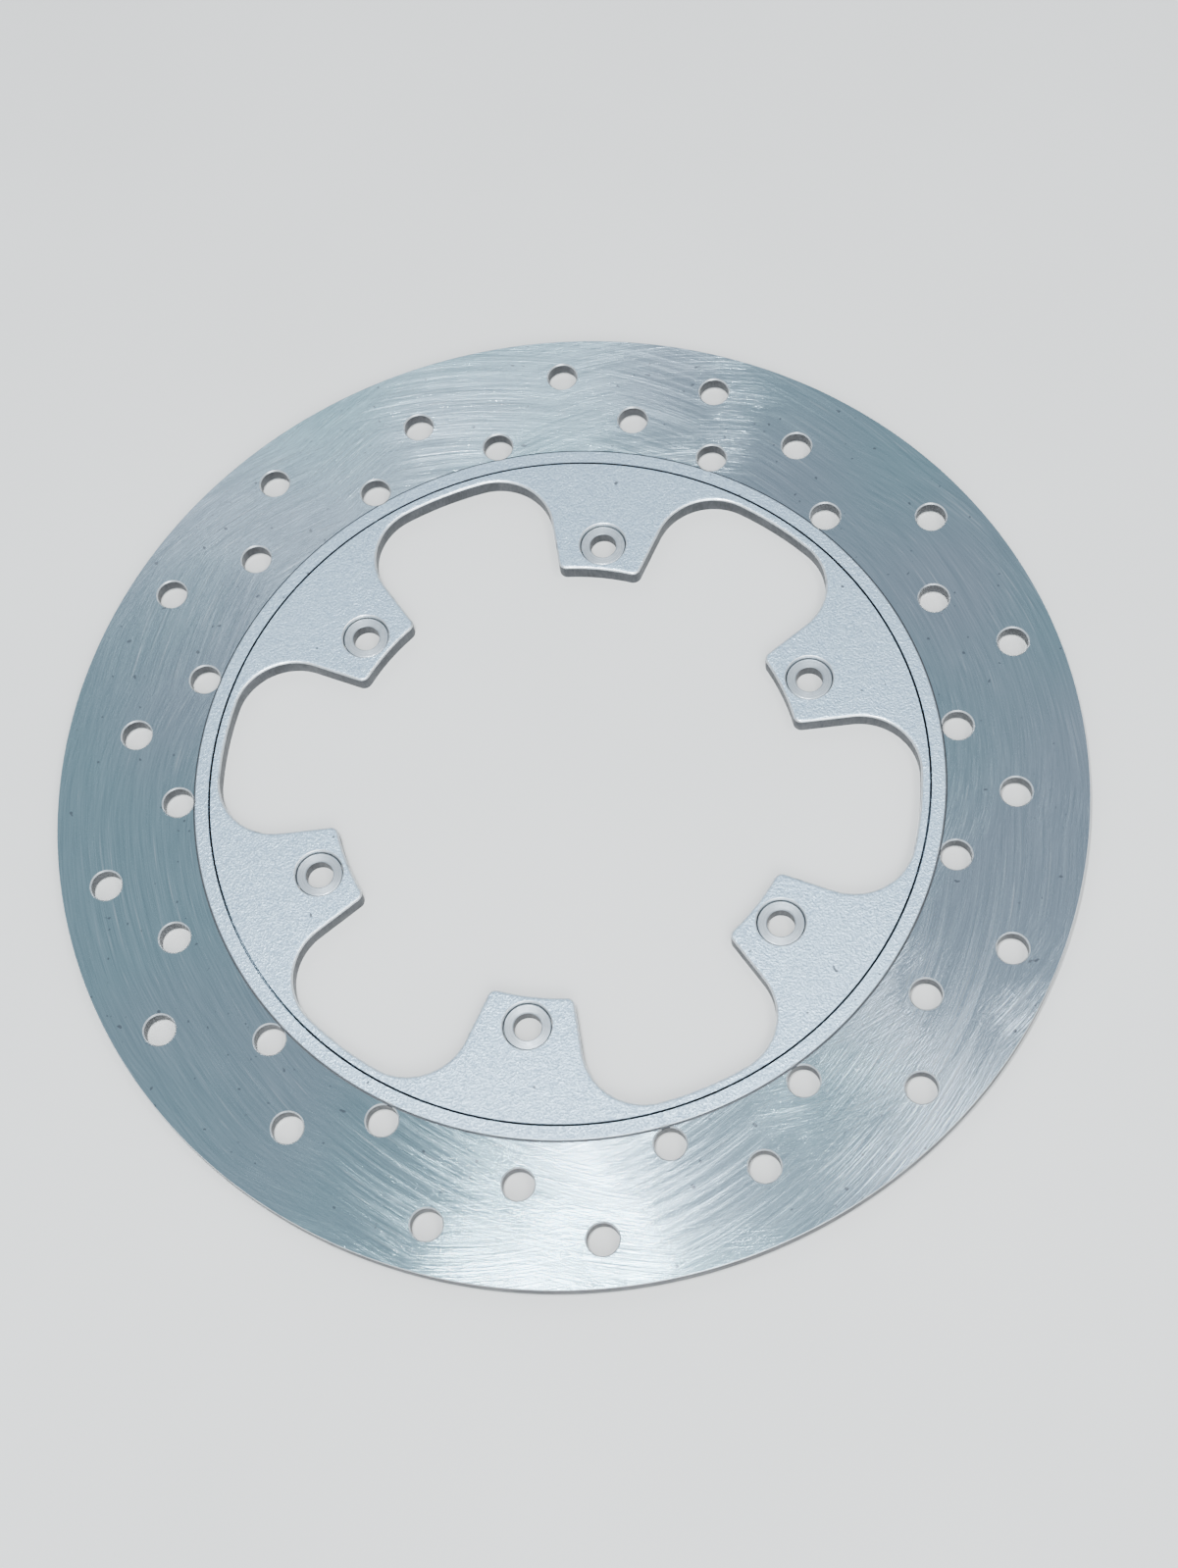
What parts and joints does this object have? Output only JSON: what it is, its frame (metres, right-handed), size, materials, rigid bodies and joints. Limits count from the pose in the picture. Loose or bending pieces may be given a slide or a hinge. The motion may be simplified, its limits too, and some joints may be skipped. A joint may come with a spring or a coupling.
{
  "type": "brake disc rotor",
  "caption": "Flat drilled motorcycle brake disc: a ground friction ring on a lugged carrier with round windows between the lugs and a bush at each bolt hole.",
  "frame": {"origin": "on the rotor's axis, in the plane of the rear face that lies against the wheel hub", "axes": "+Z along the rotor's axis, out of the front face and away from the wheel; +Y through the middle of one lug; +X through the middle of a window"},
  "size_m": [0.24, 0.24, 0.0046],
  "materials": {
    "ground_steel": "cross-hatched grinding marks over turned tracks",
    "silver_coating": "fine-grained matt silver",
    "bush_steel": "smooth satin, turned"
  },
  "bodies": {
    "root": {"friction_ring": "ground_steel", "carrier": "silver_coating", "bolt_bush_1": "bush_steel", "bolt_bush_2": "bush_steel", "bolt_bush_3": "bush_steel", "bolt_bush_4": "bush_steel", "bolt_bush_5": "bush_steel", "bolt_bush_6": "bush_steel"}
  },
  "joints": []
}
